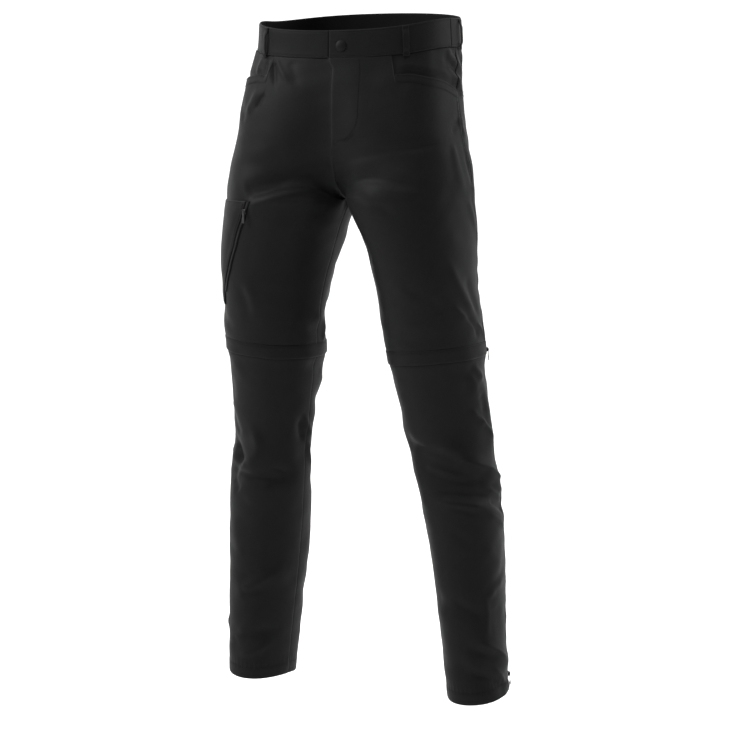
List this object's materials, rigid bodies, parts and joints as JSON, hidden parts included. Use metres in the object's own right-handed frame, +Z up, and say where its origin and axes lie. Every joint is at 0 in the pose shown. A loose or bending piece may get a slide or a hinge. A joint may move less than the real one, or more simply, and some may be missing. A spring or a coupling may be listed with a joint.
{
  "type": "zip-off trousers",
  "caption": "Black zip-off trousers filled out with no wearer, waist and hems open, with knee zips under flaps, ankle zips and a thigh pocket.",
  "frame": {"origin": "middle of the waist opening, level with the top edge of the waistband at its sides", "axes": "+Z up, towards the waist; the front faces -Y; the wearer's left is +X"},
  "size_m": [0.4696, 0.2535, 1.047],
  "materials": {
    "shell_cloth": "near-black tight plain weave with a slight sheen",
    "inner_cloth": "dark inside cloth, dull",
    "zip_tape": "woven black tape with moulded teeth",
    "zip_slider": "black lacquered die-cast metal",
    "zip_pull": "moulded matte black tab",
    "press_stud": "black lacquered cap, satin"
  },
  "bodies": {
    "garment": {"waistband_left_front": "shell_cloth", "waistband_right_front": "shell_cloth", "waistband_back": "shell_cloth", "belt_loop_front_left": "shell_cloth", "belt_loop_front_right": "shell_cloth", "belt_loop_side_left": "shell_cloth", "belt_loop_side_right": "shell_cloth", "belt_loop_back": "shell_cloth", "front_upper_left": "shell_cloth", "front_upper_right": "shell_cloth", "back_upper_left": "shell_cloth", "back_upper_right": "shell_cloth", "front_lower_left": "shell_cloth", "front_lower_right": "shell_cloth", "back_lower_left": "shell_cloth", "back_lower_right": "shell_cloth", "knee_flap_left": "shell_cloth", "knee_flap_right": "shell_cloth", "thigh_pocket": "shell_cloth", "pocket_facing_left": "inner_cloth", "pocket_facing_right": "inner_cloth", "fly_placket": "inner_cloth", "knee_zip_left": "zip_tape", "knee_zip_right": "zip_tape", "ankle_zip_left": "zip_tape", "ankle_zip_right": "zip_tape", "thigh_zip": "zip_tape", "thigh_zip_slider": "zip_slider", "knee_zip_left_slider": "zip_slider", "knee_zip_right_slider": "zip_slider", "ankle_zip_left_slider": "zip_slider", "ankle_zip_right_slider": "zip_slider", "press_stud": "press_stud"},
    "thigh_zip_pull_body": {"thigh_zip_pull": "zip_pull"},
    "knee_zip_left_pull_body": {"knee_zip_left_pull": "zip_pull"},
    "knee_zip_right_pull_body": {"knee_zip_right_pull": "zip_pull"},
    "ankle_zip_left_pull_body": {"ankle_zip_left_pull": "zip_pull"},
    "ankle_zip_right_pull_body": {"ankle_zip_right_pull": "zip_pull"}
  },
  "joints": [
    {"name": "thigh_zip_pull_hinge", "type": "hinge", "parent": "garment", "child": "thigh_zip_pull_body", "pos_m": [-0.12642, -0.14047, -0.28597], "axis": [-0.9736, 0.2283, 0], "range_deg": [0, 165]},
    {"name": "knee_zip_left_pull_hinge", "type": "hinge", "parent": "garment", "child": "knee_zip_left_pull_body", "pos_m": [0.20442, 0.01742, -0.49187], "axis": [0.3945, -0.9189, 0], "range_deg": [0, 165]},
    {"name": "knee_zip_right_pull_hinge", "type": "hinge", "parent": "garment", "child": "knee_zip_right_pull_body", "pos_m": [-0.20442, 0.01742, -0.49187], "axis": [0.3945, 0.9189, 0], "range_deg": [0, 165]},
    {"name": "ankle_zip_left_pull_hinge", "type": "hinge", "parent": "garment", "child": "ankle_zip_left_pull_body", "pos_m": [0.22936, 0.05291, -0.99609], "axis": [0.3794, -0.9252, 0], "range_deg": [0, 165]},
    {"name": "ankle_zip_right_pull_hinge", "type": "hinge", "parent": "garment", "child": "ankle_zip_right_pull_body", "pos_m": [-0.22932, 0.0529, -0.99609], "axis": [0.3794, 0.9252, 0], "range_deg": [0, 165]}
  ]
}
